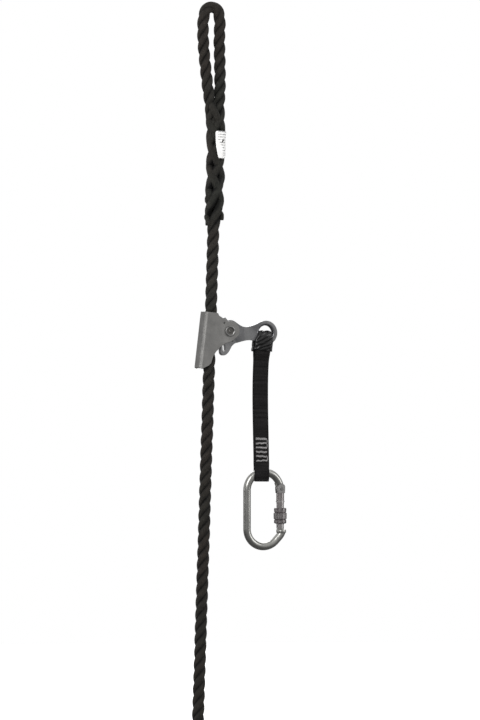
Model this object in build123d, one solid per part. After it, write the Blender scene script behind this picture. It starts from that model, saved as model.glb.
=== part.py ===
from build123d import *
import math
import os

# Rope-grab fall-arrest set for roof work: lifeline with spliced eye, cam-type rope grab,
# webbing extension sling and screw-lock oval connector. Millimetres.
# Origin: centre of the rope's lower cut end. +Z up along the rope, +X from the rope
# towards the grab's ring, -Y to the front of the grab.

os.makedirs("parts", exist_ok=True)

# ---- dimensions shared between sections ------------------------------------------------
rope_r = 8.0                    # 16 mm three-strand rope

pin_x, pin_z = 23.4, 536.5      # pivot of the cam lever, axis along Y
pin_r = 5.0
inner_w = 18.0                  # between the housing's side plates
plate_t = 2.5
half_outer = inner_w / 2 + plate_t
hub_half = 7.9                  # half width of the cam's hub
pocket_y = -3.6                 # floor of the pocket in the front of the hub

ring_ro, ring_ri = 16.0, 9.75   # lever's ring
ring_dx, ring_dz = 53.5, -0.5   # ring centre from the pivot
ring_x, ring_z = pin_x + ring_dx, pin_z + ring_dz


# ---- helpers ---------------------------------------------------------------------------
def polar(radius, degrees, x=0, z=0):
    angle = math.radians(degrees)
    return (x + radius * math.cos(angle), z + radius * math.sin(angle))


def outline(points):
    return make_face(Polyline(*points, close=True))


def poly(points):
    """Face in the XZ plane through (x, z) points."""
    return Plane.XZ * outline(points)


def turned(points):
    """Solid of revolution about Z from (radius, z) points."""
    return revolve(poly(points), axis=Axis.Z)


def slab(face, y0, y1):
    return Pos(0, y0, 0) * extrude(face, amount=y1 - y0, dir=(0, 1, 0))


def rod_y(x, z, radius, y0, y1):
    return slab(Plane.XZ * Pos(x, z) * Circle(radius), y0, y1)


def bore(x, z, radius):
    """Cutter along Y, longer than any piece is thick."""
    return rod_y(x, z, radius, -20, 20)


def rod_z(x, radius, z0, z1):
    bottom = (Align.CENTER, Align.CENTER, Align.MIN)
    return Pos(x, 0, z0) * Cylinder(radius, z1 - z0, align=bottom)


def box(x0, x1, y0, y1, z0, z1):
    return Pos((x0 + x1) / 2, (y0 + y1) / 2, (z0 + z1) / 2) * Box(x1 - x0, y1 - y0, z1 - z0)


def wire_along(path, radius, **options):
    """Round bar or wire swept from the start of a path."""
    return sweep(Plane(origin=path @ 0, z_dir=path % 0) * Circle(radius), path=path, **options)


def at_y(edge, y):
    """True for an edge lying in either of the planes +y and -y."""
    return abs(abs(edge.center().Y) - y) < 0.01


def soften(part, chosen, *radii):
    """Round the edges with the largest radius that holds."""
    for radius in radii:
        # The kernel may refuse a radius or return a broken solid; the next one is then tried.
        try:
            done = fillet(chosen, radius)
            if done.is_valid and done.volume > 0:
                return done
        except Exception:
            pass
    return part


def largest(part):
    return part.solids().sort_by(SortBy.VOLUME)[-1]


def write(name, shape):
    export_step(shape, "parts/" + name + ".step")


# ---- lifeline --------------------------------------------------------------------------
eye_rope_r = 7.3                # the same rope pulled tight round the eye
eye_top = (-12.0, 0, 956.0)     # centre line at the top of the eye
splice_low, splice_top = 676.0, 797
label_low, label_r, label_t = 762, 13.1, 0.6
whip_len, whip_r = 22.0, 8.6

# centre lines of the eye: up from the rope to the top, then down the -X side
eye_up = Spline(
    (0, 0, 772), (0.6, 0, 806), (3.1, 0, 849.7), (1.1, 0, 888.6), (-0.7, 0, 927.5), eye_top,
    tangents=[(0, 0, 1), (-1, 0, 0)],
)
eye_down = Spline(
    eye_top, (-22.6, 0, 927.5), (-19.8, 0, 888.6), (-15.8, 0, 853), (-10.6, 0, 825),
    (-5.5, 0, 803),
    tangents=[(-1, 0, 0), (0.22, 0, -1)],
)
eye_down_rope = wire_along(eye_down, eye_rope_r)
write("anchor_rope", rod_z(0, rope_r, 0, 776) + wire_along(eye_up, eye_rope_r) + eye_down_rope)

# tucked strands of the splice, thickest below the eye: radius, z
splice_profile = [
    (rope_r + 0.05, splice_low), (9.4, splice_low), (10.6, 690), (11.4, 725), (12.2, 765),
    (12.4, splice_top), (rope_r + 0.05, splice_top),
]
write("eye_splice_strands", turned(splice_profile) - eye_down_rope)

# strip wrapped round the front of the splice
label = rod_z(0, label_r, label_low, splice_top)
label = label - rod_z(0, label_r - label_t, label_low - 2, splice_top + 2)
wedge = outline([(0, 0)] + [polar(30, a) for a in range(250, 351, 10)])
label = label & (Pos(0, 0, label_low - 4) * extrude(wedge, amount=44))
write("identification_label", label)

write("rope_end_whipping", rod_z(0, whip_r, 0, whip_len) - rod_z(0, rope_r, -1, whip_len + 1))

# ---- grab housing ----------------------------------------------------------------------
tilt = math.radians(5.0)        # the housing hangs tilted on the rope
boss_r = 13.2                   # rounded corner of the side plates round the pivot
channel_u = -34.0               # inner face of the wall behind the rope
hook_x, hook_z = pin_x - 8.4, pin_z + 10.4    # hole the spring leg hooks through


def on_housing(points):
    """Points (u, v) from the pivot, along and across the tilted housing, as (x, z)."""
    cos_t, sin_t = math.cos(tilt), math.sin(tilt)
    return [(pin_x + u * cos_t + v * sin_t, pin_z - u * sin_t + v * cos_t) for u, v in points]


# side view of the housing: u, v
housing_outline = [
    (-36.5, 21.4), (-19.6, 21.4), (-18.6, 20.2), (-17.3, 18.2), (-12.5, 16.2), (-8.6, 14.4),
    *[polar(boss_r, a) for a in range(112, -27, -8)],
    (4.0, -12.9), (-5.4, -17.2), (-11.0, -22.7), (-16.2, -28.8), (-19.3, -35.2),
    (-20.5, -41.0), (-21.4, -44.5), (-24.2, -48.0), (-32.5, -53.0), (-36.5, -51.6),
]
housing = slab(poly(on_housing(housing_outline)), -half_outer, half_outer)
wall_edges = [e for e in housing.edges().filter_by(GeomType.LINE)
              if e.length > 60 and at_y(e, half_outer)]
housing = soften(housing, wall_edges, 5.0, 4.2, 3.6)

# channel for rope and cam, open at both ends and on the +X side
channel = poly(on_housing([(channel_u, 40), (40, 40), (40, -80), (channel_u, -80)]))
channel = slab(channel, -inner_w / 2, inner_w / 2)
channel_edges = [e for e in channel.edges().filter_by(GeomType.LINE)
                 if e.length > 100 and e.center().X < pin_x]
channel = soften(channel, channel_edges, 2.5, 2.0, 1.4)
housing = housing - channel
housing = housing - bore(pin_x, pin_z, pin_r + 0.02)
housing = housing - rod_y(hook_x, hook_z, 1.1, -14, -5)
rim = [e for e in housing.edges() if at_y(e, half_outer) and e.length > 0.5]
housing = soften(housing, rim, 0.6, 0.4, 0.25)
write("housing", housing)

# ---- pivot pin and what sits on it -----------------------------------------------------
head_r, head_t = 6.8, 2.0
recess_r, recess_d = 4.9, 1.5   # dish in the front head, radius at mid lip
washer_r = 8.8
bush_r = 6.1
head_y = half_outer + head_t    # end faces of the pin at -head_y and +head_y

pin = rod_y(pin_x, pin_z, pin_r, -half_outer, half_outer)
front_head = rod_y(pin_x, pin_z, head_r, -head_y, -half_outer)
front_rim = [e for e in front_head.edges() if e.center().Y < -head_y + 0.01]
front_head = soften(front_head, front_rim, 0.8)
rear_head = rod_y(pin_x, pin_z, head_r, half_outer, head_y)
rear_rim = [e for e in rear_head.edges() if e.center().Y > head_y - 0.01]
rear_head = soften(rear_head, rear_rim, 1.2, 0.8)
pin = pin + front_head + rear_head


def pin_cone(y, rear_r, front_r, length):
    return Pos(pin_x, y, pin_z) * Rot(90, 0, 0) * Cone(rear_r, front_r, length)


dish = rod_y(pin_x, pin_z, recess_r - 0.5, -20, -head_y + recess_d)
pin = pin - dish - pin_cone(-head_y + 0.35, recess_r - 0.5, recess_r + 0.5, 0.8)
# raised cone on the floor of the dish
pin = pin + pin_cone(-head_y + recess_d, 2.6, 1.4, 1.0)
write("pivot_pin", pin)


def pin_sleeve(radius, y0, y1):
    return rod_y(pin_x, pin_z, radius, y0, y1) - bore(pin_x, pin_z, pin_r + 0.02)


washer_in, washer_out = hub_half + 0.1, inner_w / 2 - 0.02
write("pin_washer_front", pin_sleeve(washer_r, -washer_out, -washer_in))
write("pin_washer_rear", pin_sleeve(washer_r, washer_in, washer_out))
# spring bush inside the lever's front pocket
write("spring_bush", pin_sleeve(bush_r, -7.98, pocket_y - 0.2))

# torsion return spring: coil round the bush, one leg hooked out through the front plate
spring_wire_r = 0.6
coil_r, coil_pitch = 7.6, 1.35
coil_turns = 2 + 73.5 / 360

coil = Helix(pitch=coil_pitch, height=coil_pitch * coil_turns, radius=coil_r)
coil = Pos(pin_x, -4.4, pin_z) * Rot(90, 0, 0) * coil
coil_end = coil @ 1
leg = FilletPolyline(
    (coil_end.X, coil_end.Y, coil_end.Z), (hook_x, coil_end.Y, hook_z), (hook_x, -12.2, hook_z),
    radius=1.0,
)
coil_solid = wire_along(coil, spring_wire_r, is_frenet=True)
leg_solid = wire_along(leg, spring_wire_r)
write("return_spring", Compound(children=[coil_solid, leg_solid]))

# ---- cam lever -------------------------------------------------------------------------
lever_t = 8.0
run = 0.05                      # radial running clearance on the pin
hub_r = 11.6
pocket_r = 9.6
slot_r = 2.2                    # slot in the lower tab
tooth_depth, tooth_pitch = 1.1, 7.25          # pitch in degrees
teeth_from, teeth_to = 152, 210               # toothed arc, degrees from +X towards +Z


def from_pivot(points):
    return [(pin_x + x, pin_z + z) for x, z in points]


def curve(points):
    return Spline(*from_pivot(points))


# edges of the arm and of the tab below the hub: x, z from the pivot
arm_top = curve([(9.0, 13.0), (15.2, 9.2), (21.0, 6.6), (28.0, 6.7), (34, 8.3), (40.5, 10.8),
                 (46.5, 14.4)])
arm_low = curve([(46.5, -14.9), (41.5, -12.2), (36.0, -10.9), (27.8, -11.0), (19.3, -12.9),
                 (12.3, -15.0), (7.5, -16.0)])
tab_right = curve([(12.3, -14.6), (8.4, -16.9), (5.7, -19.9), (3.9, -23.4), (1.7, -27.2),
                   (-1.4, -30.4), (-5.4, -31.8)])
tab_left = curve([(-5.4, -31.8), (-8.3, -29.6), (-9.3, -25.0), (-9.0, -18.0), (-8.4, -10.0)])

arm = make_face([arm_top, Line(arm_top @ 1, arm_low @ 0), arm_low,
                 Line(arm_low @ 1, arm_top @ 0)])
tab = make_face([tab_right, tab_left, Line(tab_left @ 1, tab_right @ 0)])
hub_disc = Pos(pin_x + 3.0, pin_z + 2.0) * Circle(12.6)
plate = arm + tab + hub_disc + (Pos(ring_x, ring_z) * Circle(ring_ro))
plate = slab(Plane.XZ * plate, -lever_t / 2, lever_t / 2)
plate = plate - bore(ring_x, ring_z, ring_ri)

slot_low, slot_high = from_pivot([(-4.4, -24.2), (-4.9, -19.6)])
slot_sides = [(slot_low[0] - slot_r, slot_low[1]), (slot_low[0] + slot_r, slot_low[1]),
              (slot_high[0] + slot_r, slot_high[1]), (slot_high[0] - slot_r, slot_high[1])]
slot = bore(*slot_low, slot_r) + bore(*slot_high, slot_r) + slab(poly(slot_sides), -10, 10)
plate = plate - slot

ring_edges = [e for e in plate.edges().filter_by(GeomType.CIRCLE)
              if abs(e.radius - ring_ri) < 0.01 and at_y(e, lever_t / 2)]
plate = soften(plate, ring_edges, 2.6, 2.0, 1.6)
# every other edge of the two flat faces, leaving out the rim of the ring's rounding
flat_edges = [e for e in plate.edges() if at_y(e, lever_t / 2)
              and not (e.geom_type == GeomType.CIRCLE and ring_ri < e.radius < ring_ri + 3)]
plate = soften(plate, flat_edges, 2.2, 1.8, 1.4, 1.0, 0.6)


def cam_radius(phi):
    """Radius of the cam at phi degrees: a spiral with teeth on the side facing the rope."""
    if phi >= 150:
        radius = 14.85 + 0.055 * (phi - 180)
    else:
        radius = 13.2 + (150 - phi) * 0.115
    if teeth_from <= phi <= teeth_to:
        phase = ((phi - teeth_from) % tooth_pitch) / tooth_pitch
        radius -= tooth_depth * abs(phase * 2 - 1)
    return radius


# one point a degree, two along the teeth
cam_angles = [k * 0.5 for k in range(208, 425)
              if k % 2 == 0 or teeth_from <= k * 0.5 <= teeth_to]
cam_outline = [polar(cam_radius(phi), phi) for phi in cam_angles]
cam_outline.append((-9.0, -14.5))
cam_outline += [polar(hub_r, a) for a in range(-100, 81, 12)]
cam = slab(poly(from_pivot(cam_outline)), -hub_half, hub_half)

# round spring pocket in the front, opened upwards to let the spring leg out
pocket = rod_y(pin_x, pin_z, pocket_r, -12, pocket_y)
sector = poly(from_pivot([(0, 0)] + [polar(40, a) for a in range(72, 142, 8)]))
cam_lever = plate + cam - pocket - slab(sector, -12, pocket_y)
cam_lever = cam_lever - bore(pin_x, pin_z, pin_r + run)
write("cam_lever", largest(cam_lever))

# ---- sling -----------------------------------------------------------------------------
web_w, web_t = 20.0, 2.5
sleeve_w = 23.0
loop_z, loop_ri = 352.0, 8.6    # centre and inner radius of the sling's lower eye
sling_lean = -0.62              # degrees; the sling leans away from the rope going down
fork_z = 512.0                  # above this the two plies run parallel up to the ring
ply_out, ply_in = 7.2, 4.9      # y of the outer and inner faces of the parallel plies
web_top = ring_z + 0.8
sleeve_top = ring_z + 2.6
hollow_top = ring_z + 0.95


def lean(part):
    return Pos(ring_x, 0, ring_z) * Rot(0, sling_lean, 0) * Pos(-ring_x, 0, -ring_z) * part


def mirrored(half, middle=()):
    """Outline symmetric about zero, from its positive half listed from the top down."""
    return [(-across, z) for across, z in half] + list(middle) + half[::-1]


def band_x(points, width):
    """Band of (y, z) outline, centred on the ring in X."""
    face = make_face(Polyline(*[(ring_x - width / 2, y, z) for y, z in points], close=True))
    return extrude(face, amount=width, dir=(1, 0, 0))


def loop_arc(radius):
    return [polar(radius, a, z=loop_z) for a in range(154, 387, 8)]


def saddle(radius, half_length, top):
    """Round filling in the ring, cut flat at the top."""
    return (rod_y(ring_x, ring_z, radius, -half_length, half_length)
            & box(ring_x - 20, ring_x + 20, -9, 9, ring_z - 20, top))


def leg_pair(half_x, y0, y1, z0, z1):
    return (box(ring_x - half_x, ring_x + half_x, -y1, -y0, z0, z1)
            + box(ring_x - half_x, ring_x + half_x, y0, y1, z0, z1))


# half outlines: y, z
web_outer = [(ply_out, web_top), (ply_out, fork_z), (6.6, 505.0), (3.0, 494.0),
             (web_t, 489.0), (web_t, 367.5)]
web_inner = [(ply_in, ring_z + 3), (ply_in, fork_z), (3.9, 504), (0.05, 490.5)]
# half width of the webbing, pinched in at the lower eye: x from the ring, z
web_width = [(10.5, 560), (10.5, 353), (8.9, 346.5), (8.9, 330)]

webbing = band_x(mirrored(web_outer, loop_arc(loop_ri + web_t)), web_w)
webbing = webbing - band_x([(0.0, 364.5)] + loop_arc(loop_ri), web_w + 4)
webbing = webbing - band_x(mirrored(web_inner), web_w + 4) + saddle(7.9, 5.4, web_top)
webbing = webbing & slab(poly([(ring_x + x, z) for x, z in mirrored(web_width)]), -20, 20)
long_edges = [e for e in webbing.edges().filter_by(GeomType.LINE)
              if abs(abs(e.center().X - ring_x) - web_w / 2) < 0.01
              and 380 < e.center().Z < 480 and e.length > 50]
webbing = soften(webbing, long_edges, 0.8, 0.5)
write("sling_webbing", lean(webbing))

cover = leg_pair(sleeve_w / 2, 4.25, 8.1, fork_z, sleeve_top)
cover = soften(cover, cover.edges().filter_by(Axis.Z), 1.2, 0.8)
cover = cover + saddle(9.4, 5, sleeve_top)
hollow = leg_pair(web_w / 2 + 0.15, 4.75, 7.35, 500, hollow_top)
hollow = hollow + saddle(8.05, 5.6, hollow_top)
write("wear_sleeve", lean(cover - hollow))

# rows of stitching on both faces, above the lower eye
tack_low, tack_pitch, tack_y = 370.7, 5.4, 2.82
tacks = [lean(Pos(ring_x, y, tack_low + row * tack_pitch) * Box(15.8, 0.6, 1.9))
         for row in range(6) for y in (-tack_y, tack_y)]
write("bar_tack_stitching", Compound(children=tacks))

# ---- connector -------------------------------------------------------------------------
# Built upright about its own centre, gate on the +X side, then hung in place.
con_x, con_z = 83.0, 305.6      # centre of the connector
con_lean = -1.94                # degrees
bar_r = 5.0
bend_r = 23.5                   # centre-line radius of both ends of the oval
gate_x = bend_r
straight_up, straight_low = 24.7, 25.9        # half lengths of the straight sides
hinge_z = 26.3                  # gate rivet
nose_shoulder = -27.6
spigot_top = -26.3
claw_top = -20.5
latch_z = -22.7                 # pin across the gate that the nose claw hooks
tongue_half = 2.2               # half thickness of the body's tongue in the gate's fork
fork_half = 5.6


def hang(part):
    return Pos(con_x, 0, con_z) * Rot(0, con_lean, 0) * part


def on_bend(centre_z, degrees):
    x, z = polar(bend_r, degrees, z=centre_z)
    return (x, 0, z)


# centre line from the nose, round the bottom, up the closed side and over the top
nose_bend = Edge.make_spline(
    [(gate_x + 3.0, 0, nose_shoulder), on_bend(-straight_low, -42)],
    tangents=[(-0.12, 0, -0.99), (-0.669, 0, -0.743)],
)
frame_path = Wire([
    nose_bend,
    Edge.make_three_point_arc(*[on_bend(-straight_low, a) for a in (-42, -111, 180)]),
    Edge.make_line((-bend_r, 0, -straight_low), (-bend_r, 0, straight_up)),
    Edge.make_three_point_arc(*[on_bend(straight_up, a) for a in (180, 90, 6)]),
])
frame = wire_along(frame_path, bar_r)
frame = frame - box(gate_x - 7, gate_x + 9, -9, 9, nose_shoulder - 2.0, 0)

nose_cap = rod_z(gate_x + 1.4, 6.5, nose_shoulder - 4.8, nose_shoulder)
nose_cap = soften(nose_cap, nose_cap.edges().filter_by(GeomType.CIRCLE), 1.6, 0.8)
spigot = rod_z(gate_x, 4.8, nose_shoulder - 3, spigot_top)
# claw with a notch for the latch pin, open towards the closed side
notch_r = 1.2
claw = box(gate_x - 3.4, gate_x + 4.4, -1.6, 1.6, spigot_top - 1, claw_top)
claw = claw - box(gate_x - 6, gate_x + 0.6, -3, 3, latch_z - notch_r, latch_z + notch_r)
claw = claw - rod_y(gate_x + 0.6, latch_z, notch_r, -3, 3)


def tongue_point(degrees):
    """Point on the tongue's rim, from straight down towards -X, with a raised lobe."""
    base_r, lobe = 4.6, 0.8
    radius = base_r
    if 0 <= degrees <= 28:
        radius = base_r + lobe * degrees / 28.0
    elif 28 < degrees <= 44:
        radius = base_r + lobe
    elif 44 < degrees < 60:
        radius = base_r + lobe - lobe * (degrees - 44) / 16.0
    angle = math.radians(degrees)
    return (gate_x - radius * math.sin(angle), hinge_z - radius * math.cos(angle))


tongue = slab(poly([tongue_point(a) for a in range(-180, 180, 4)]), -tongue_half, tongue_half)
neck = slab(poly([(gate_x - 4.6, hinge_z), (gate_x + 4.6, hinge_z),
                  (gate_x + 2.6, hinge_z + 9), (gate_x - 7.6, hinge_z + 7)]),
            -tongue_half, tongue_half)
# room for the fork: both flanks of the tongue, and the bar below the hinge
flanks = rod_y(gate_x, hinge_z, 6.6, -12, -tongue_half)
flanks = flanks + rod_y(gate_x, hinge_z, 6.6, tongue_half, 12)
below = box(gate_x - 9, gate_x + 9, -12, 12, 10, hinge_z)
below = below - box(gate_x - 12, gate_x - 7, -12, 12, hinge_z - 1, hinge_z + 12)
carabiner = (frame - flanks - below) + tongue + neck + nose_cap + spigot + claw
carabiner = carabiner - bore(gate_x, hinge_z, 1.72)
write("carabiner_body", hang(largest(carabiner)))

rivet = rod_y(gate_x, hinge_z, 1.7, -fork_half, fork_half)
rivet = rivet + rod_y(gate_x, hinge_z, 2.7, -6.3, -5.65) + rod_y(gate_x, hinge_z, 2.7, 5.65, 6.3)
rivet = soften(rivet, [e for e in rivet.edges() if abs(e.center().Y) > 6.25], 0.4)
write("gate_hinge_rivet", hang(rivet))

# gate: fork at the top, plain tube, grooved lower part, slot and pin for the nose claw
gate_r, thread_r = 5.2, 5.02
gate_end = -25.7
thread_top = 8.4
groove_pitch, groove_w, groove_r = 1.5, 0.55, 4.6

gate = rod_z(gate_x, gate_r, thread_top, hinge_z - 2)
gate = gate + rod_z(gate_x, thread_r, gate_end, thread_top)
fork = rod_y(gate_x, hinge_z, 6.2, -fork_half, fork_half)
fork = fork + box(gate_x - gate_r, gate_x + gate_r, -fork_half, fork_half, 20.3, hinge_z)
fork = fork & rod_z(gate_x, 6.6, 10, 40)
gate = gate + fork
gate = gate - box(gate_x - 9, gate_x + 9, -2.3, 2.3, 20.4, 40)
gate = gate - bore(gate_x, hinge_z, 1.75)
gate = gate - rod_z(gate_x, 2.2, 2.0, 25)           # bore for plunger and spring
gate = gate - box(gate_x - 9, gate_x + 9, -1.8, 1.8, -40, -19.3)
gate = gate - bore(gate_x, latch_z, 1.0)
for k in range(21):
    z = gate_end + 1.0 + groove_pitch * k
    gate = gate - (rod_z(gate_x, 6, z, z + groove_w) - rod_z(gate_x, groove_r, z - 1, z + 2))
write("gate", hang(largest(gate)))

collar = rod_z(gate_x, 5.75, thread_top + 0.05, 10.0) - rod_z(gate_x, gate_r + 0.01, 0, 12)
write("gate_stop_collar", hang(collar))
write("gate_latch_pin", hang(rod_y(gate_x, latch_z, 0.98, -4.6, 4.6)))

# round-nosed plunger under the tongue, pushed up by a coil spring
plunger_r, plunger_top = 2.1, 19.45
plunger = rod_z(gate_x, plunger_r, 13.6, plunger_top)
plunger = plunger + (Pos(gate_x, 0, plunger_top) * Sphere(plunger_r))
write("gate_plunger", hang(plunger))
gate_coil = Pos(gate_x, 0, 2.55) * Helix(pitch=1.5, height=10.4, radius=1.65)
write("gate_spring", hang(wire_along(gate_coil, 0.35, is_frenet=True)))

# ---- locking sleeve --------------------------------------------------------------------
lock_ro, lock_ri, lock_len = 8.7, 5.1, 20.6
lock_top = 0.8                  # upper face of the sleeve, unlocked

# radius, z from the upper face
lock_profile = [
    (lock_ri, 0), (7.0, 0), (8.1, -1.1), (8.1, -4.8), (7.5, -5.4), (7.5, -5.9),
    (lock_ro, -6.9), (lock_ro, -14.1), (7.5, -15.1), (7.5, -15.6), (8.1, -16.2),
    (8.1, -19.5), (7.0, -lock_len), (lock_ri, -lock_len),
]


def around_lock(z, degrees, radius):
    return Pos(gate_x, 0, z) * Rot(0, 0, degrees) * Pos(radius, 0, 0)


lock = Pos(gate_x, 0, lock_top) * turned(lock_profile)
# notches round both ends, then fine flutes round the middle
for k in range(8):
    for z in (lock_top - 1.4, lock_top - lock_len + 1.4):
        lock = lock - around_lock(z, 45 * k, 8.9) * Box(3.6, 2.2, 3.0)
for k in range(24):
    flute = Rot(0, 0, 45) * Box(0.85, 0.85, 9.0)
    lock = lock - around_lock(lock_top - lock_len / 2, 15 * k, lock_ro + 0.1) * flute
write("locking_sleeve", hang(lock))
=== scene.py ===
# A twisted-rope lifeline with a spliced eye, a steel housing with a cam lever on the rope,
# and a webbing sling that joins the lever's ring to a connector. The rope stands on z = 0
# along +Z, the sling hangs beside it at x = 77 mm with its wide faces towards -Y and +Y.
# Front is -Y, where the camera stands. Shapes are in millimetres and become metres in
# to_object.
import math
import bpy
import numpy as np
from mathutils import Vector, Matrix, noise


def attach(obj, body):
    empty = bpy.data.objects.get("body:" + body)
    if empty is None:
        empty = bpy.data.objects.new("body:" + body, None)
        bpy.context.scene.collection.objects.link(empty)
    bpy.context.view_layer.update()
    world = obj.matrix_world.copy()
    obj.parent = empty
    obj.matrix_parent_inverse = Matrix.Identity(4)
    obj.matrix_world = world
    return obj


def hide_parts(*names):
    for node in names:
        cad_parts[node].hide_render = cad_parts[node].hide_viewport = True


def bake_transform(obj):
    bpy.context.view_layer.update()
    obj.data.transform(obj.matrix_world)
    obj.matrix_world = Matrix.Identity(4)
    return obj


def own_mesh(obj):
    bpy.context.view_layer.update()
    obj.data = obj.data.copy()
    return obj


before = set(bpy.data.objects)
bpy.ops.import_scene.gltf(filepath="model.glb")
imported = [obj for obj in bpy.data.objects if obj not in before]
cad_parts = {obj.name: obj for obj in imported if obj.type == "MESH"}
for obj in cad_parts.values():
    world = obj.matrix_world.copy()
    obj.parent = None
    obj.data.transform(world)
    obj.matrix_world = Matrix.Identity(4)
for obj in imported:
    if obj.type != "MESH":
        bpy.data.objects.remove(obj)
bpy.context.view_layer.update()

MM = 0.001
TURN = 2 * math.pi


# ------------------------------------------------------------------ shape helpers
def fade(value, zero_at, one_at):
    """0 at zero_at, 1 at one_at, straight between and held beyond."""
    return np.clip((value - zero_at) / (one_at - zero_at), 0, 1)


def ease(weight):
    return weight * weight * (3 - 2 * weight)


def wrap(magnitude, power):
    """Signed power, which squares off or sharpens a sine."""
    return math.copysign(abs(magnitude) ** power, magnitude)


def run_lengths(points):
    steps = np.linalg.norm(np.diff(points, axis=0), axis=1)
    return np.concatenate([[0], np.cumsum(steps)])


def arc(mid_z, y_radius, up_radius, degrees, down_radius=0.0):
    """(y, z) points about y = 0; the half below mid_z has its own height."""
    points = []
    for angle in np.radians(degrees):
        rise = math.sin(angle)
        z_radius = up_radius if rise > 0 else down_radius
        points.append((y_radius * math.cos(angle), mid_z + z_radius * rise))
    return points


def mirrored(points):
    """The same (y, z) points on the other side of y = 0, in reverse order."""
    return [(-y, z) for y, z in reversed(points)]


def to_object(name, verts, faces, uvs):
    """Smooth mesh object; uvs holds one (u, v) per corner of each face."""
    mesh = bpy.data.meshes.new(name)
    mesh.from_pydata([tuple(v) for v in (np.asarray(verts) * MM)], [], faces)
    layer = mesh.uv_layers.new(name="UVMap")
    corners = np.array([corner for face in uvs for corner in face], np.float32)
    layer.data.foreach_set("uv", corners.ravel())
    mesh.update()
    mesh.polygons.foreach_set("use_smooth", [True] * len(mesh.polygons))
    obj = bpy.data.objects.new(name, mesh)
    bpy.context.scene.collection.objects.link(obj)
    return obj


def skin(rings, lengths, around, caps=True):
    """Tube through rings (n, m, 3). UVs are in millimetres: u round, v along."""
    count, sides = rings.shape[:2]
    faces, uvs = [], []
    for i in range(count - 1):
        low, high = i * sides, (i + 1) * sides
        for j in range(sides):
            k = (j + 1) % sides
            faces.append((low + j, low + k, high + k, high + j))
            u0, u1 = around * j / sides, around * (j + 1) / sides
            v0, v1 = lengths[i], lengths[i + 1]
            uvs.append(((u0, v0), (u1, v0), (u1, v1), (u0, v1)))
    if caps:
        last = (count - 1) * sides
        faces.append(tuple(reversed(range(sides))))
        faces.append(tuple(range(last, last + sides)))
        uvs += [[(0.0, lengths[0])] * sides, [(0.0, lengths[-1])] * sides]
    return rings.reshape(-1, 3), faces, uvs


def merge(name, parts):
    verts, faces, uvs = [], [], []
    base = 0
    for part_verts, part_faces, part_uvs in parts:
        verts.append(part_verts)
        faces += [tuple(base + i for i in face) for face in part_faces]
        uvs += part_uvs
        base += len(part_verts)
    return to_object(name, np.concatenate(verts), faces, uvs)


def frames(path):
    """Tangent and two parallel-transported normals along a polyline (n, 3)."""
    tangent = np.gradient(path, axis=0)
    tangent /= np.linalg.norm(tangent, axis=1)[:, None]
    normal = np.zeros_like(path)
    carried = np.array([1.0, 0.0, 0.0])
    for i in range(len(path)):
        across = carried - tangent[i] * carried.dot(tangent[i])
        normal[i] = carried = across / np.linalg.norm(across)
    return tangent, normal, np.cross(tangent, normal)


def resample(points, step):
    """Catmull-Rom through points, at about even steps; also gives the length along it."""
    points = np.asarray(points, float)
    before, after = 2 * points[0] - points[1], 2 * points[-1] - points[-2]
    knots = np.vstack([before, points, after])
    curve = []
    for p0, p1, p2, p3 in zip(knots, knots[1:], knots[2:], knots[3:]):
        for x in np.linspace(0, 1, 60, endpoint=False):
            curve.append(0.5 * (2 * p1 + (p2 - p0) * x + (2 * p0 - 5 * p1 + 4 * p2 - p3) * x * x
                                + (3 * p1 - p0 - 3 * p2 + p3) * x ** 3))
    curve.append(points[-1])
    curve = np.array(curve)
    lengths = run_lengths(curve)
    count = max(2, int(round(lengths[-1] / step)))
    even = np.linspace(0, lengths[-1], count + 1)
    return np.column_stack([np.interp(even, lengths, curve[:, k]) for k in range(3)]), even


def tube(path, radius, segments, yarns=0, depth=0.0, yarn_pitch=20.0, phase=0.0):
    """Round capped tube along path (n, 3); yarns adds helical grooves to its surface."""
    _, side, other = frames(path)
    lengths = run_lengths(path)
    angle = np.linspace(0, TURN, segments, endpoint=False)
    radius = np.broadcast_to(np.reshape(radius, (-1, 1)), (len(path), 1))
    surface = np.repeat(radius, segments, axis=1)
    if yarns:
        twist = angle[None, :] + TURN * lengths[:, None] / yarn_pitch + phase
        surface = surface - depth * (1 - np.abs(np.sin(yarns / 2.0 * twist)) ** 0.7)
    outward = (np.cos(angle)[None, :, None] * side[:, None, :]
               + np.sin(angle)[None, :, None] * other[:, None, :])
    rings = path[:, None, :] + surface[..., None] * outward
    return skin(rings, lengths, TURN * float(np.mean(radius)))


# ------------------------------------------------------------------ shader helpers
class Value:
    """A node's output; arithmetic and comparison on it make Math nodes."""

    def __init__(self, graph, socket):
        self.graph, self.socket = graph, socket

    def math(self, operation, other=None):
        node = self.graph.new("ShaderNodeMath", operation=operation)
        self.graph.feed(node.inputs[0], self)
        if other is not None:
            self.graph.feed(node.inputs[1], other)
        return Value(self.graph, node.outputs[0])

    def __add__(self, other):
        return self.math("ADD", other)

    def __sub__(self, other):
        return self.math("SUBTRACT", other)

    def __mul__(self, other):
        return self.math("MULTIPLY", other)

    def __gt__(self, other):
        return self.math("GREATER_THAN", other)

    def __lt__(self, other):
        return self.math("LESS_THAN", other)


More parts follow.
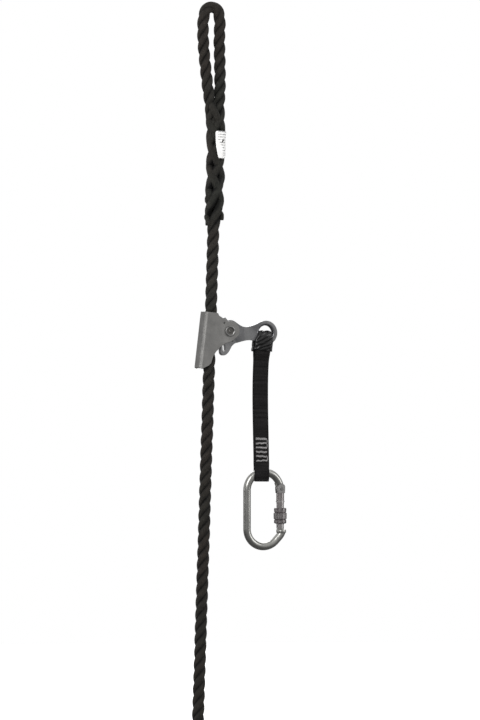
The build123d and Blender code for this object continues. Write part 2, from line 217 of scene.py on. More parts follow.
class Graph:
    """The node tree of a material or world."""

    def __init__(self, owner):
        owner.use_nodes = True
        self.owner, self.tree = owner, owner.node_tree
        self.shader = self.tree.nodes.get("Principled BSDF")

    def new(self, kind, **settings):
        node = self.tree.nodes.new(kind)
        for key, setting in settings.items():
            setattr(node, key, setting)
        return node

    def out(self, kind, output, **settings):
        return Value(self, self.new(kind, **settings).outputs[output])

    def feed(self, target, value):
        """Links a Value, or sets a constant; colours are given as (r, g, b)."""
        if isinstance(value, Value):
            self.tree.links.new(value.socket, target)
        else:
            target.default_value = (*value, 1) if target.type == "RGBA" else value

    def shade(self, name, value):
        self.feed(self.shader.inputs[name], value)

    def split(self, vector):
        node = self.new("ShaderNodeSeparateXYZ")
        self.feed(node.inputs[0], vector)
        return [Value(self, socket) for socket in node.outputs]

    def ramp(self, fac, stops):
        """Stops are (position, colour); a single number is a grey."""
        node = self.new("ShaderNodeValToRGB")
        elements = node.color_ramp.elements
        while len(elements) < len(stops):
            elements.new(0.5)
        for element, (position, colour) in zip(elements, stops):
            element.position = position
            element.color = (*(colour if isinstance(colour, tuple) else (colour,) * 3), 1)
        self.feed(node.inputs[0], fac)
        return Value(self, node.outputs[0])

    def noise(self, scale, detail, rough, vector=None, stretch=None):
        if vector is None:
            vector = self.out("ShaderNodeTexCoord", "Object")
        if stretch is not None:
            mapping = self.new("ShaderNodeMapping")
            mapping.inputs["Scale"].default_value = stretch
            self.feed(mapping.inputs[0], vector)
            vector = Value(self, mapping.outputs[0])
        node = self.new("ShaderNodeTexNoise")
        inputs = {"Scale": scale, "Detail": detail, "Roughness": rough, "Vector": vector}
        for name, value in inputs.items():
            self.feed(node.inputs[name], value)
        return Value(self, node.outputs[0])

    def bump(self, height, strength, distance, normal=None):
        node = self.new("ShaderNodeBump")
        node.inputs["Strength"].default_value = strength
        node.inputs["Distance"].default_value = distance
        self.feed(node.inputs["Height"], height)
        if normal is not None:
            self.feed(node.inputs["Normal"], normal)
        return Value(self, node.outputs[0])

    def vector_math(self, operation, vector, other=None):
        node = self.new("ShaderNodeVectorMath", operation=operation)
        self.feed(node.inputs[0], vector)
        if other is not None:
            node.inputs[1].default_value = other
        return Value(self, node.outputs["Value" if operation == "LENGTH" else "Vector"])

    def mix(self, fac, below, above, mode="MIX"):
        node = self.new("ShaderNodeMixRGB", blend_type=mode)
        for target, value in zip(node.inputs, (fac, below, above)):
            self.feed(target, value)
        return Value(self, node.outputs[0])

    def overlay(self, fac, colour, mode="MIX"):
        """Mixes a colour over what feeds the base colour so far."""
        below = Value(self, self.shader.inputs["Base Color"].links[0].from_socket)
        self.shade("Base Color", self.mix(fac, below, colour, mode))


def new_material(name):
    return Graph(bpy.data.materials.new(name))


# ------------------------------------------------------------------ soft materials
def fibre(name, dark, light, rough, sheen, stripes, spec=0.35):
    """Twisted yarn: fine lines leaning by stripes = (per mm round, per mm along)."""
    graph = new_material(name)
    u, v, _ = graph.split(graph.out("ShaderNodeUVMap", 0))
    line = (u * stripes[0] + v * stripes[1]).math("SINE").math("ABSOLUTE")
    soft = graph.noise(scale=140.0, detail=4.0, rough=0.6)
    fuzz = graph.noise(scale=1600.0, detail=2.0, rough=0.6)
    tone = (soft * 0.55 + fuzz * 0.45) * (line * 0.45 + 0.75)
    graph.shade("Base Color", graph.ramp(tone, [(0.28, dark), (0.75, light)]))
    graph.shade("Roughness", rough)
    graph.shade("Sheen Weight", sheen)
    graph.shade("Sheen Roughness", 0.5)
    graph.shade("Specular IOR Level", spec)
    lines = graph.bump(line, strength=0.55, distance=0.00025)
    graph.shade("Normal", graph.bump(fuzz, strength=0.35, distance=0.0002, normal=lines))
    return graph


def rope_material():
    """Yarn with painted shade in the grooves and a painted highlight on the crowns, patchy, and
    darker and browner towards its lower end.
    """
    graph = fibre("twisted_rope", dark=(0.003, 0.0028, 0.0022), light=(0.026, 0.0245, 0.021),
                  rough=0.65, sheen=0.02, stripes=(7.0, 2.2), spec=0.22)
    crown = graph.out("ShaderNodeAttribute", "Fac", attribute_name="crown")
    # painted shade in the grooves and painted highlight on the crowns, from how far the yarn stands
    # out (crown), jittered by noise
    painted_light_fac = crown + (graph.noise(scale=45.0, detail=3.0, rough=0.6) - 0.5) * 0.9
    groove_shade = graph.ramp(painted_light_fac, [(0.05, 0.08), (0.55, 0.72), (1.0, 1.32)])
    patches = graph.ramp(graph.noise(scale=9.0, detail=3.0, rough=0.5),
                         [(0.42, (0.92, 1.0, 0.95)), (0.60, (1.16, 0.98, 0.93))])
    # darker and browner towards the bottom
    height = graph.split(graph.out("ShaderNodeTexCoord", "Object"))[2]
    lower_end_tint = graph.ramp(height, [(0.0, (0.74, 0.64, 0.60)), (0.30, (0.82, 0.76, 0.72)),
                                  (0.62, (1.0, 1.0, 1.0))])
    for tint in (groove_shade, patches, lower_end_tint):
        graph.overlay(1.0, tint, mode="MULTIPLY")
    return graph.owner


def web_material():
    """Woven strap: crossing warp and weft, random cross bands, and painted shade along both
    selvedges.
    """
    warp_pitch, weft_pitch = 0.95, 1.25
    middle_u, edge_shade_from = 10.0, 8.7
    graph = new_material("sling_web")
    uv = graph.out("ShaderNodeUVMap", 0)
    u, v, _ = graph.split(uv)
    warp = (u * (TURN / warp_pitch)).math("SINE")
    shift = warp.math("SIGN") * (math.pi / 2)
    weft = (v * (TURN / weft_pitch) + shift).math("SINE")
    weave = (weft * 0.5 + 0.5) * warp.math("ABSOLUTE").math("POWER", 0.5)
    soft = graph.noise(scale=60.0, detail=5.0, rough=0.6)
    bands = graph.noise(scale=1.0, detail=2.0, rough=0.5, vector=uv, stretch=(0.02, 0.33, 1.0))
    tone = weave * 0.4 + soft * 0.35 + bands * 1.5
    # painted shade: darker along both selvedges, where the strap's edges curve away from the light
    edge_shade = ((u - middle_u).math("ABSOLUTE") > edge_shade_from) * 0.16
    tone = tone - (edge_shade + 0.575)
    graph.shade("Base Color", graph.ramp(tone, [(0.30, (0.0025, 0.0021, 0.0023)),
                                                (0.72, (0.0112, 0.0098, 0.0103))]))
    graph.shade("Roughness", 0.7)
    graph.shade("Sheen Weight", 0.03)
    graph.shade("Specular IOR Level", 0.16)
    woven = graph.bump(weave, strength=0.8, distance=0.0003)
    graph.shade("Normal", graph.bump(bands, strength=0.35, distance=0.0006, normal=woven))
    return graph.owner


def sleeve_material():
    """Shiny black tube."""
    graph = new_material("sleeve_tube")
    soft = graph.noise(scale=120.0, detail=5.0, rough=0.6)
    fine = graph.noise(scale=1500.0, detail=2.0, rough=0.5)
    graph.shade("Base Color", graph.ramp(soft, [(0.3, 0.0012), (0.7, (0.0045, 0.0042, 0.0045))]))
    graph.shade("Roughness", soft * 0.2 + 0.2)
    graph.shade("Specular IOR Level", 0.5)
    graph.shade("Normal", graph.bump(fine, strength=0.12, distance=0.0002))
    return graph.owner


def label_material():
    """White strip with broken rows of dark marks above a slanting lower limit."""
    row_pitch, left_margin, right_margin = 3.4, 3.4, 18.5
    limit_slope, limit_v = -1.9, 4.5
    graph = new_material("label_strip")
    uv = graph.out("ShaderNodeUVMap", 0)
    u, v, _ = graph.split(uv)
    rows = (v * (TURN / row_pitch)).math("SINE") > 0.55
    dashes = graph.noise(scale=1.0, detail=1.0, rough=0.5, vector=uv,
                         stretch=(0.9, 0.3, 1.0)) > 0.43
    inside = (u > left_margin) * (u < right_margin) * (v + u * limit_slope < limit_v)
    marks = rows * dashes * inside
    dirt = graph.noise(scale=160.0, detail=4.0, rough=0.6)
    graph.shade("Base Color", graph.ramp(dirt, [(0.3, (0.80, 0.79, 0.77)),
                                                (0.6, (0.95, 0.95, 0.94))]))
    graph.overlay(marks * 0.9, (0.10, 0.10, 0.11))
    graph.shade("Roughness", 0.38)
    graph.shade("Normal", graph.bump(dirt, strength=0.15, distance=0.0006))
    return graph.owner


# ------------------------------------------------------------------ metals
def metal(name, shade, rough, grain, scratch=(300, 300, 300), tint=(1.0, 1.0, 0.985),
          mottle=40.0, edge=0.0, fine_part=0.3, line_part=0.12, edge_at=(0.52, 0.60)):
    """Mottled metal. shade and rough are (low, high) ranges, grain is the bump strength,
    scratch stretches the scratch noise, mottle scales the blotches, fine_part and line_part
    weigh the fine and scratch noises, edge sets a painted highlight on edges over the edge_at
    pointiness."""
    low, high = shade
    graph = new_material(name)
    graph.shade("Metallic", 1.0)
    blotch = graph.noise(scale=mottle, detail=5.0, rough=0.6)
    fine = graph.noise(scale=900.0, detail=3.0, rough=0.6)
    line = graph.noise(scale=1.0, detail=3.0, rough=0.5, stretch=scratch)
    tone = blotch * (1 - fine_part) + fine * fine_part
    colours = [tuple(level * channel for channel in tint) for level in shade]
    graph.shade("Base Color", graph.ramp(tone, list(zip((0.32, 0.68), colours))))
    if edge:
        # painted highlight on sharp edges, where the pointiness is high
        pointiness = graph.out("ShaderNodeNewGeometry", "Pointiness")
        painted_light_fac = graph.ramp(pointiness, [(edge_at[0], 0.0), (edge_at[1], 1.0)])
        bright = min(1, high * 1.6)
        graph.overlay(painted_light_fac * edge, (bright, bright, min(1, high * 1.58)))
    base_rough = tone * (rough[1] - rough[0]) + rough[0]
    graph.shade("Roughness", base_rough + (line - 0.5) * line_part)
    relief = fine * 0.5 + line * 0.5
    graph.shade("Normal", graph.bump(relief, strength=grain, distance=0.0003))
    return graph


def paint_pin_recess_shade(graph):
    """Painted shade: a dark disc of about 5 mm radius round the Y axis line through pin_centre,
    over the pin head's recess.
    """
    pin_centre = (0.0234, 0.0, 0.5365)
    place = graph.out("ShaderNodeTexCoord", "Object")
    offset = graph.vector_math("SUBTRACT", place, pin_centre)
    in_plane = graph.vector_math("MULTIPLY", offset, (1.0, 0.0, 1.0))
    ragged = graph.noise(scale=500.0, detail=3.0, rough=0.6) * 0.0006
    distance = graph.vector_math("LENGTH", in_plane) + ragged
    inside = graph.ramp(distance * 100.0, [(0.44, 0.85), (0.52, 0.0)])
    # painted shade in the pin head's recess
    graph.overlay(inside, (0.125, 0.12, 0.112))


rope_mat = rope_material()
thread_mat = fibre("stitch_thread", dark=(0.10, 0.095, 0.095), light=(0.36, 0.35, 0.35),
                   rough=0.7, sheen=0.2, stripes=(9.0, 5.0)).owner
twine_mat = fibre("whipping_twine", dark=(0.01, 0.01, 0.01), light=(0.05, 0.05, 0.05),
                  rough=0.6, sheen=0.2, stripes=(9.0, 5.0)).owner
web_mat = web_material()
sleeve_mat = sleeve_material()
label_mat = label_material()
# edge sets how strong each metal's painted edge highlight is
METALS = {
    "sheet_steel": dict(shade=(0.195, 0.34), rough=(0.50, 0.64), grain=0.08,
                        scratch=(900, 900, 60), tint=(1.0, 0.985, 0.955), mottle=38.0,
                        edge=0.22, fine_part=0.15, edge_at=(0.55, 0.66)),
    "cast_steel": dict(shade=(0.15, 0.265), rough=(0.26, 0.42), grain=0.14,
                       scratch=(500, 500, 500), tint=(0.98, 0.985, 1.02), mottle=60.0,
                       edge=0.5, fine_part=0.15),
    "pin_steel": dict(shade=(0.20, 0.33), rough=(0.30, 0.46), grain=0.10,
                      scratch=(700, 700, 700), tint=(1.0, 0.99, 0.97), mottle=160.0, edge=0.6),
    "connector_steel": dict(shade=(0.31, 0.43), rough=(0.21, 0.33), grain=0.03,
                            scratch=(500, 500, 60), tint=(1.0, 0.995, 0.945), mottle=45.0,
                            edge=0.3, fine_part=0.06, line_part=0.05),
    "lock_steel": dict(shade=(0.13, 0.27), rough=(0.24, 0.42), grain=0.05,
                       scratch=(800, 800, 80), tint=(1.0, 0.89, 0.90), mottle=90.0,
                       edge=0.6, fine_part=0.1, line_part=0.06),
    "gate_steel": dict(shade=(0.24, 0.38), rough=(0.20, 0.34), grain=0.05,
                       scratch=(600, 600, 60), tint=(1.0, 0.93, 0.92), mottle=70.0,
                       edge=0.5, fine_part=0.08, line_part=0.05),
    "spring_wire": dict(shade=(0.35, 0.5), rough=(0.2, 0.35), grain=0.05),
    "bronze_bush": dict(shade=(0.35, 0.5), rough=(0.25, 0.4), grain=0.1,
                        tint=(1.0, 0.74, 0.42)),
}
metals = {name: metal(name, **settings) for name, settings in METALS.items()}
paint_pin_recess_shade(metals["pin_steel"])

# ------------------------------------------------------------------ rope and splice
STRANDS = 3
LAY = 48.5             # height of one turn of the plain rope
WEAVE = 92.0           # height of one turn in the splice
WEAVE_START = 690.0
WEAVE_DEPTH = 0.62     # in and out swing of strands that cross in the splice
SPLICE_TOP = 832.0
ROPE_SEGMENTS = 40

# (x, z) along the rope: straight up, round the eye and back down into the splice
ROPE_AXIS = [(0, z) for z in range(0, 761, 40)] + [
    (0, 785), (0.7, 812), (2.9, 849.7), (1.4, 888.6), (0.0, 915.0), (-0.2, 938.0),
    (-3.4, 951.4), (-11.7, 956.9), (-20.0, 951.4), (-23.2, 938.0), (-22.6, 915.0),
    (-19.6, 888.6), (-14.0, 851), (-9.6, 829), (-6.3, 801), (-4.6, 786), (-3.0, 771)]

# (z, x) of the splice's middle line
SPLICE_AXIS = [(0, 0), (740, 0), (775, -0.8), (800, -2.0), (820, -4.4), (830, -5.6)]

# Cut tails of the tucked strands: end z, distance from the axis, angle in degrees
TAILS = [(672.5, 9.2, 197), (680.5, 9.8, 352), (692.0, 8.6, 90)]


def weave_swing(z):
    return WEAVE_DEPTH * np.cos(TURN * STRANDS * (z - WEAVE_START) / WEAVE)


def splice_axis_x(z):
    return np.interp(z, *zip(*SPLICE_AXIS))


def points_mm(obj):
    return np.array([v.co for v in obj.data.vertices], float).reshape(-1, 3) * 1000.0


def mark_crowns(obj, inner, outer, centre, axis):
    """Writes how far points stand out from the axis: 0 deep in a groove, 1 on a crown."""
    offset = points_mm(obj) - centre
    offset -= axis * np.sum(offset * axis, axis=1)[:, None]
    weight = np.clip((np.linalg.norm(offset, axis=1) - inner) / (outer - inner), 0, 1)
    attribute = obj.data.attributes.new("crown", "FLOAT", "POINT")
    attribute.data.foreach_set("value", weight.astype(np.float32))


def build_rope():
    """Three strands twisted along the axis. Returns their angle at WEAVE_START."""
    path, length = resample([(x, 0, z) for x, z in ROPE_AXIS], 1.25)
    in_eye = fade(length, 800, 840)
    in_splice = ease(fade(length, 668, 698) * fade(length, SPLICE_TOP, SPLICE_TOP - 30))
    at_top = np.exp(-((length - length[int(np.argmax(path[:, 2]))]) / 24.0) ** 2)
    orbit = (3.30 + 0.37 * in_eye + in_splice * (3.3 + weave_swing(length)) - 0.9 * at_top)
    thickness = 4.76 - 0.62 * in_eye + 0.85 * at_top
    swell = 1 + 0.12 * in_splice
    pitch = LAY * (1 - in_splice[1:]) + WEAVE * in_splice[1:]
    twist = np.cumsum(np.concatenate([[0], np.diff(length) * TURN / pitch]))
    tangent, side, other = frames(path)
    parts = []
    for i in range(STRANDS):
        angle = twist + i * TURN / STRANDS
        wobble = 1 + 0.015 * np.sin(length / 23.0 + i * 2.1) + 0.01 * np.sin(length / 7.3 + i)
        outward = np.cos(angle)[:, None] * side + np.sin(angle)[:, None] * other
        strand = path + (orbit * wobble)[:, None] * outward
        radius = thickness * (1 + 0.012 * np.sin(length / 11.0 + 1.7 * i)) * swell
        radius[0] *= 0.82
        radius[-1] *= 0.7
        parts.append(tube(strand, radius, ROPE_SEGMENTS, yarns=13, depth=0.27,
                          yarn_pitch=-26.0, phase=i))
    rope = merge("rope_strands", parts)
    station = np.tile(np.repeat(np.arange(len(path)), ROPE_SEGMENTS), STRANDS)
    reach = (orbit + thickness * swell)[station]
    groove = 2.4 + 2.5 * 0.45 * in_eye[station]
    mark_crowns(rope, reach - groove, reach - 0.4, path[station], tangent[station])
    rope.data.materials.append(rope_mat)
    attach(rope, "lifeline")
    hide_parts("anchor_rope")
    return np.interp(WEAVE_START, length, twist)


def build_splice(start_angle):
    """Tucked strands, laid against the rope's twist and passing over and under it."""
    parts = []
    for j, (cut, tail_orbit, tail_degrees) in enumerate(TAILS):
        z = np.arange(cut, SPLICE_TOP + 0.1, 1.1)
        tail = ease(fade(z, cut + 22, cut + 6))
        angle = start_angle - TURN * (z - WEAVE_START) / WEAVE + j * TURN / STRANDS
        orbit = 7.1 - weave_swing(z) + 0.35 * np.sin(z / 9.0 + 2 * j)
        orbit = orbit * (1 - tail) + tail_orbit * tail
        top = fade(z, 808, 830)
        orbit = orbit * (1 - top) + 5.2 * top
        # the cut tails lie straight down the rope, turned the nearest way round
        leaving = float(angle[np.argmin(np.abs(z - cut - 22))])
        tail_angle = math.radians(tail_degrees)
        tail_angle += TURN * round((leaving - tail_angle) / TURN)
        angle = angle * (1 - tail) + tail_angle * tail
        path = np.column_stack([splice_axis_x(z) + orbit * np.cos(angle),
                                orbit * np.sin(angle), z])
        radius = 5.15 * (1 - 0.30 * tail) * (1 + 0.02 * np.sin(z / 6.0 + j))
        radius[0] *= 0.8
        radius[-1] *= 0.5
        parts.append(tube(path, radius, 36, yarns=12, depth=0.32, yarn_pitch=24.0, phase=j))
    splice = merge("splice_strands", parts)
    z = points_mm(splice)[:, 2]
    middle = np.column_stack([splice_axis_x(z), 0 * z, z])
    mark_crowns(splice, inner=6.6, outer=10.4, centre=middle, axis=np.array([0.0, 0.0, 1.0]))
    splice.data.materials.append(rope_mat)
    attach(splice, "lifeline")
    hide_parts("eye_splice_strands")


def build_label():
    """Printed strip round the front of the splice, narrowing downwards."""
    columns, rows = 40, 30
    width, height, thickness = 20, 35, 0.55
    top_z, centre_x, radius = 795.4, -0.5, 12.75
    verts, faces, uvs = [], [], []
    for side in (0, 1):
        for i in range(rows + 1):
            down = i / rows
            narrowing = down ** 2.2
            start, end = 246 + 22 * narrowing, 340 - 24 * narrowing
            for j in range(columns + 1):
                across = j / columns
                angle = math.radians(start + (end - start) * across)
                reach = (radius - thickness * side + 0.30 * math.sin(3.1 * across + 4 * down)
                         + 0.22 * math.sin(9 * down + 2 * across) + 2.5 * max(0, across - 0.9))
                # rounds the four corners
                corner = (max(0, abs(down - 0.5) * 2 - 0.93) / 0.07
                          * max(0, abs(across - 0.5) * 2 - 0.9) / 0.1)
                z = top_z - height * down - (1 if down < 0.5 else -1) * 1.4 * corner
                verts.append((centre_x + reach * math.cos(angle), reach * math.sin(angle), z))
    per_side = (rows + 1) * (columns + 1)

    def index(i, j):
        return i * (columns + 1) + j

    for i in range(rows):
        for j in range(columns):
            cells = [(i, j), (i + 1, j), (i + 1, j + 1), (i, j + 1)]
            quad = tuple(index(*cell) for cell in cells)
            faces += [quad, tuple(per_side + k for k in reversed(quad))]
            uvs.append([(width * b / columns, height * a / rows) for a, b in cells])
            uvs.append([(0.0, 0.0)] * 4)
    rim = ([(i, 0) for i in range(rows)] + [(rows, j) for j in range(columns)]
           + [(i, columns) for i in range(rows, 0, -1)] + [(0, j) for j in range(columns, 0, -1)])
    for here, following in zip(rim, rim[1:] + rim[:1]):
        near, far = index(*here), index(*following)
        faces.append((far, near, per_side + near, per_side + far))
        uvs.append([(0.0, 0.0)] * 4)
    label = to_object("label_strip", verts, faces, uvs)
    label.data.materials.append(label_mat)
    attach(label, "lifeline")
    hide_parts("identification_label")


def build_whipping():
    """Twine wound round the rope's lower end."""
    turns, orbit, start_z, height = 20, 8.15, 0.9, 20.2
    angle = np.linspace(0, TURN * turns, turns * 40)
    path = np.column_stack([orbit * np.cos(angle), orbit * np.sin(angle),
                            start_z + height * angle / angle[-1]])
    whipping = merge("whipping_twine", [tube(path, 0.52, 8)])
    whipping.data.materials.append(twine_mat)
    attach(whipping, "lifeline")
    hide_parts("rope_end_whipping")


# ------------------------------------------------------------------ sling
SLING_X, SLING_Z = 76.9, 536.0     # the point the sling leans about
LEAN = math.radians(-0.62)
WEB_THICKNESS = 2.35
WEB_STEP = 1.2
WEB_COLUMNS = 44

# (y, z) down the +Y side of the webbing: from the ring in to the doubled strap,
# and out again to the connector
WEB_NECK = [(5.65, 524), (5.5, 519), (4.7, 513), (3.4, 507.5), (2.1, 502.5), (1.45, 498),
            (1.32, 493), (1.30, 487)]
WEB_FOOT = [(1.32, 370.5), (1.9, 367.0), (4.3, 360.6)]

# (y, z) up the -Y side of the wear sleeve
SLEEVE_SIDE = [(-4.7, 511.4), (-5.25, 515), (-5.65, 519.5), (-5.75, 526)]

TACK_Z, TACK_PITCH = 368.7, 5.72
ZIGZAG = 1.15
# Bar tack rows, upwards: end x, zigzag height, slow wave height, slope
TACK_ROWS = [(7.3, 0.8, 0.34, 0.08), (7.3, 0.8, 0.3, -0.05), (7.3, 0.8, 0.3, -0.03),
             (7.0, 0.8, 0.12, -0.05), (7.0, 0.8, 0.26, 0.04), (7.0, 1.15, 0.08, -0.02)]
LINKED_ROWS = (0, 3, 4)            # rows joined to the next by a thread at their +X end


def bow(z):
    """Sideways sag: the strap leaves the ring towards the rope and curves back out."""
    down = fade(z, 541.0, 335.0)
    return -5.2 * np.sin(math.pi * down ** 0.66) * (1.0 - 0.5 * down * down)


def lean(points):
    points = np.asarray(points, float)
    x, z = points[..., 0] - SLING_X + bow(points[..., 2]), points[..., 2] - SLING_Z
    leaned = points.copy()
    leaned[..., 0] = SLING_X + x * math.cos(LEAN) + z * math.sin(LEAN)
    leaned[..., 2] = SLING_Z - x * math.sin(LEAN) + z * math.cos(LEAN)
    return leaned


def web_outline():
    """Closed loop of evenly spaced, smoothed (y, z), with the length along it."""
    side = WEB_NECK + [(1.30, z) for z in range(480, 371, -8)] + WEB_FOOT
    over_ring = arc(530.4, 5.65, 6.4, np.linspace(180, 0, 15))
    under_connector = arc(352.0, 6.45, 8.0, np.linspace(28, -208, 30), down_radius=9.9)
    loop = over_ring + side + under_connector + mirrored(side)
    points = np.array(loop + loop[:1], float)
    lengths = run_lengths(points)
    even = np.linspace(0, lengths[-1], int(lengths[-1] / WEB_STEP), endpoint=False)
    outline = np.column_stack([np.interp(even, lengths, points[:, k]) for k in range(2)])
    for _ in range(3):
        outline = (np.roll(outline, 1, axis=0) + 2 * outline + np.roll(outline, -1, axis=0)) / 4
    return outline[:, 0], outline[:, 1], even


def build_webbing():
    y, z, length = web_outline()
    along_y, along_z = np.roll(y, -1) - np.roll(y, 1), np.roll(z, -1) - np.roll(z, 1)
    chord = np.hypot(along_y, along_z)
    normal_y, normal_z = -along_z / chord, along_y / chord
    # section: across the strap on its outer face (+1), then back on the other (-1)
    outer = [(-1 + 2 * k / WEB_COLUMNS, 1) for k in range(WEB_COLUMNS + 1)]
    section = outer + [(across, -1) for across, _ in reversed(outer)]
    count, sides = len(y), len(section)
    rings = np.zeros((count, sides, 3))
    for i in range(count):
        width = 20.9 - 5.6 * fade(z[i], 516.0, 526.0) - 0.3 * fade(z[i], 352.0, 344.0)
        skew = 0.30 * y[i] * ease(fade(z[i], 372.0, 358.0))
        for k, (across, face) in enumerate(section):
            edge = abs(across)
            half = WEB_THICKNESS / 2 * (1 - max(0, (edge - 0.93) / 0.07) ** 2 * 0.75)
            # shallow groove beside each selvedge
            half -= 0.12 * math.exp(-((edge - 0.80) / 0.02) ** 2)
            ripple = 0.10 * math.sin(z[i] / 19.0 + across * 1.3) * (0.6 + 0.4 * across)
            rings[i, k] = (SLING_X + across * width / 2 + skew,
                           y[i] + normal_y[i] * half * face + ripple,
                           z[i] + normal_z[i] * half * face)
    faces, uvs = [], []
    for i in range(count):
        here, following = i * sides, (i + 1) % count * sides
        v0, v1 = length[i], length[i] + WEB_STEP
        for k in range(sides):
            k2 = (k + 1) % sides
            faces.append((here + k, here + k2, following + k2, following + k))
            u0, u1 = (section[k][0] + 1) * 10, (section[k2][0] + 1) * 10
            uvs.append(((u0, v0), (u1, v0), (u1, v1), (u0, v1)))
    web = to_object("webbing_strap", lean(rings.reshape(-1, 3)), faces, uvs)
    web.data.materials.append(web_mat)
    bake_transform(web)
    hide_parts("sling_webbing")


def build_sleeve():
    """Wear sleeve: soft shiny tube bunched over the ring."""
    outline = (SLEEVE_SIDE + arc(530.2, 5.75, 6.6, np.linspace(172, 8, 17))
               + mirrored(SLEEVE_SIDE))
    path, length = resample([(0, y, z) for y, z in outline], 0.42)
    tangent = np.gradient(path, axis=0)
    tangent /= np.linalg.norm(tangent, axis=1)[:, None]
    sides = 120
    rings = np.zeros((len(path), sides, 3))
    for i, (_, y, z) in enumerate(path):
        out_y, out_z = -tangent[i, 2], tangent[i, 1]
        side = -1 if length[i] < length[-1] / 2 else 1
        inset = min(length[i], length[-1] - length[i])     # distance from the nearer end
        on_ring = ease(fade(inset, 15.0, 22.5))
        half_width = 11.75 - 2.7 * on_ring + 0.45 * max(0.0, 1 - inset / 5)
        half_depth = 1.75 + 0.15 * on_ring
        fold_height = 0.72 * min(1, inset / 3.0) * (1 - 0.35 * on_ring)
        hem = max(0.0, 1.0 - inset / 12.0)
        for k in range(sides):
            cosine, sine = math.cos(TURN * k / sides), math.sin(TURN * k / sides)
            x = half_width * wrap(cosine, 0.72)
            out = half_depth * wrap(sine, 0.7)
            if sine > 0:
                # slanting folds on the outer face
                stray = noise.noise(Vector((x * 0.09, inset * 0.16, 3.1 * side)))
                fold = (inset * 0.92 + 0.55 * x * side) / 5.6 + 0.36 * stray
                ridge = wrap(math.sin(TURN * fold), 0.8)
                crease = noise.noise(Vector((x * 0.3, inset * 0.35, 7.7 * side)))
                out += fold_height * ridge * sine + 0.18 * crease
            waver = noise.noise(Vector((1.0 + cosine, inset * 0.25, side * 2.0)))
            x += 0.45 * waver * (1 - on_ring)
            lift = hem * (1.75 - 0.085 * x) if side < 0 else hem * 0.9
            if inset < 2.0:
                ragged = 0.7 * noise.noise(Vector((x * 0.16, side * 5.0, 1.0)))
                lift += (ragged + 0.035 * x * side) * (2.0 - inset) / 2.0
            rings[i, k] = (SLING_X + x, y + out_y * out, z + out_z * out + lift)
    verts, faces, uvs = skin(rings, length, 60.0, caps=False)
    sleeve = to_object("wear_sleeve_tube", lean(verts), faces, uvs)
    shell = sleeve.modifiers.new("thickness", "SOLIDIFY")
    shell.thickness = 0.0006
    shell.offset = -1.0
    sleeve.data.materials.append(sleeve_mat)
    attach(sleeve, "sling")
    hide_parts("wear_sleeve")


def build_bar_tacks():
    """Dense zigzag thread over both faces of the strap."""
    parts = []
    for i, (end_x, zigzag_height, wave_height, slope) in enumerate(TACK_ROWS):
        row_z = TACK_Z + i * TACK_PITCH
        x = np.linspace(-8.1, end_x, 150)
        drift = wave_height * np.sin(TURN * x / 7.5 + i * 1.1) + slope * x
        for face in (-1, 1):
            for layer in range(2):
                zigzag = zigzag_height * np.sin(TURN * x / ZIGZAG + layer * math.pi)
                y = face * (2.62 + 0.16 * np.cos(TURN * x / ZIGZAG * 2) + 0.05 * layer)
                path = np.column_stack([SLING_X + x, y, row_z + zigzag + drift])
                parts.append(tube(lean(path), 0.46, 7))
        if i in LINKED_ROWS:
            bulge = 0.9 * np.sin(np.linspace(0, math.pi, 14))
            z = np.linspace(row_z, row_z + TACK_PITCH, 14)
            for face in (-1, 1):
                path = np.column_stack([SLING_X + 6.9 + bulge, np.full(14, face * 2.66), z])
                parts.append(tube(lean(path), 0.55, 7))
    tack = merge("bar_tack_thread", parts)
    tack.data.materials.append(thread_mat)
    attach(tack, "sling")
    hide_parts("bar_tack_stitching")


# ------------------------------------------------------------------ gate spring
def build_gate_coil():
    """Coil spring carried with the gate. It keeps its length here, though the real coil shortens as
    the opening gate presses the plunger down.
    """
    origin_x, origin_z = 83.0, 305.6
    tilt = math.radians(-1.94)
    height, pitch, orbit = 10.4, 1.5, 1.65
    axis_x, start_z = 23.5, 2.55       # in the tilted frame
    angle = np.linspace(0, TURN * height / pitch, 330)
    x, z = axis_x + orbit * np.cos(angle), start_z + pitch * angle / TURN
    path = np.column_stack([origin_x + x * math.cos(tilt) + z * math.sin(tilt),
                            orbit * np.sin(angle),
                            origin_z - x * math.sin(tilt) + z * math.cos(tilt)])
    coil = merge("gate_coil", [tube(path, 0.34, 12)])
    coil.data.materials.append(metals["spring_wire"].owner)
    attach(coil, "gate")
    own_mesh(coil)
    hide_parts("gate_spring")


build_splice(build_rope())
build_label()
build_whipping()
build_webbing()
build_sleeve()
build_bar_tacks()
build_gate_coil()

# ------------------------------------------------------------------ parts that keep their CAD shape
CAD_PARTS = {
    "sheet_steel": ["housing"],
    "pin_steel": ["pivot_pin", "pin_washer_front", "pin_washer_rear", "gate_hinge_rivet",
                  "gate_latch_pin", "gate_plunger"],
    "bronze_bush": ["spring_bush"],
    "spring_wire": ["return_spring"],
    "cast_steel": ["cam_lever"],
    "connector_steel": ["carabiner_body"],
    "gate_steel": ["gate", "gate_stop_collar"],
    "lock_steel": ["locking_sleeve"],
}
for metal_name, part_names in CAD_PARTS.items():
    for part_name in part_names:
        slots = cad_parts[part_name].data.materials
        slots.clear()
        slots.append(metals[metal_name].owner)


# ------------------------------------------------------------------ stage, light, camera
def build_floor():
    half, z = 1.6, -0.03
    corners = [(-half, -half, z), (half, -half, z), (half, half, z), (-half, half, z)]
    mesh = bpy.data.meshes.new("floor")
    mesh.from_pydata(corners, [], [(0, 1, 2, 3)])
    floor = bpy.data.objects.new("floor", mesh)
    bpy.context.scene.collection.objects.link(floor)
    graph = new_material("floor")
    graph.shade("Base Color", (0.93, 0.93, 0.93))
    graph.shade("Roughness", 0.9)
    graph.shade("Emission Color", (1, 1, 1))
    graph.shade("Emission Strength", 0.22)
    mesh.materials.append(graph.owner)
    floor.visible_glossy = False


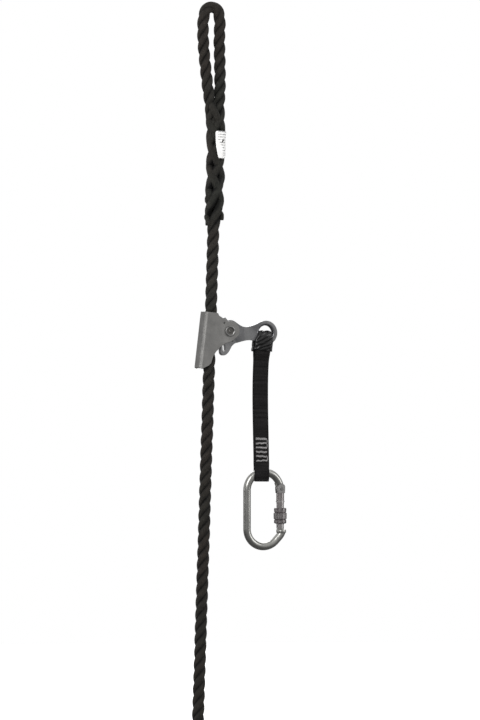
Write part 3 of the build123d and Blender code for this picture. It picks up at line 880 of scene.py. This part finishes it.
def build_world():
    """White to the camera, a grey sky that brightens upwards to everything else."""
    world = bpy.data.worlds.new("studio")
    bpy.context.scene.world = world
    graph = Graph(world)
    background = graph.tree.nodes["Background"]
    height = graph.split(graph.out("ShaderNodeTexCoord", "Generated"))[2] * 0.5 + 0.5
    sky = graph.ramp(height, [(0.0, 0.14), (0.36, 0.22), (0.50, 0.46), (0.60, 0.56), (1.0, 0.85)])
    seen = graph.out("ShaderNodeLightPath", "Is Camera Ray")
    graph.feed(background.inputs["Color"], graph.mix(seen, sky, (1, 1, 1)))
    background.inputs["Strength"].default_value = 1.0


def softbox(name, at, size, power, aim_z=0.5):
    """Rectangular light of size (x, y), aimed at the Z axis."""
    light = bpy.data.lights.new(name, "AREA")
    light.shape = "RECTANGLE"
    light.size, light.size_y = size
    light.energy = power
    obj = bpy.data.objects.new(name, light)
    bpy.context.scene.collection.objects.link(obj)
    obj.location = at
    direction = Vector((0, 0, aim_z)) - Vector(at)
    obj.rotation_euler = direction.to_track_quat("-Z", "Y").to_euler()


def build_camera():
    distance, view_size, sensor = 4.0, 0.936, 36.0
    aim_z, aim_right = 0.4995, 0.0399
    azimuth, roll = math.radians(-22.0), math.radians(1.8)
    level = Vector((math.cos(azimuth), math.sin(azimuth), 0))
    back = Vector((math.sin(azimuth), -math.cos(azimuth), 0))
    vertical = Vector((0, 0, 1))
    right = level * math.cos(roll) + vertical * math.sin(roll)
    up = -level * math.sin(roll) + vertical * math.cos(roll)
    data = bpy.data.cameras.new("camera")
    data.lens = sensor * distance / view_size
    data.sensor_width = sensor
    data.sensor_fit = "AUTO"
    camera = bpy.data.objects.new("camera", data)
    bpy.context.scene.collection.objects.link(camera)
    pose = Matrix((right, up, back)).transposed().to_4x4()
    pose.translation = Vector((0, 0, aim_z)) + level * aim_right + back * distance
    camera.matrix_world = pose
    bpy.context.scene.camera = camera


build_floor()
build_world()
softbox("key", at=(-1.5, -1.6, 1.5), size=(1.0, 1.4), power=26)
softbox("fill", at=(1.7, -1.3, 0.9), size=(0.8, 1.3), power=10, aim_z=0.45)
softbox("back", at=(0.6, 1.6, 1.3), size=(1.0, 1.2), power=12)
softbox("left", at=(-2.1, 0.25, 0.7), size=(0.9, 1.2), power=7)
build_camera()
bpy.context.scene.view_settings.view_transform = "Standard"
bpy.context.scene.view_settings.look = "None"
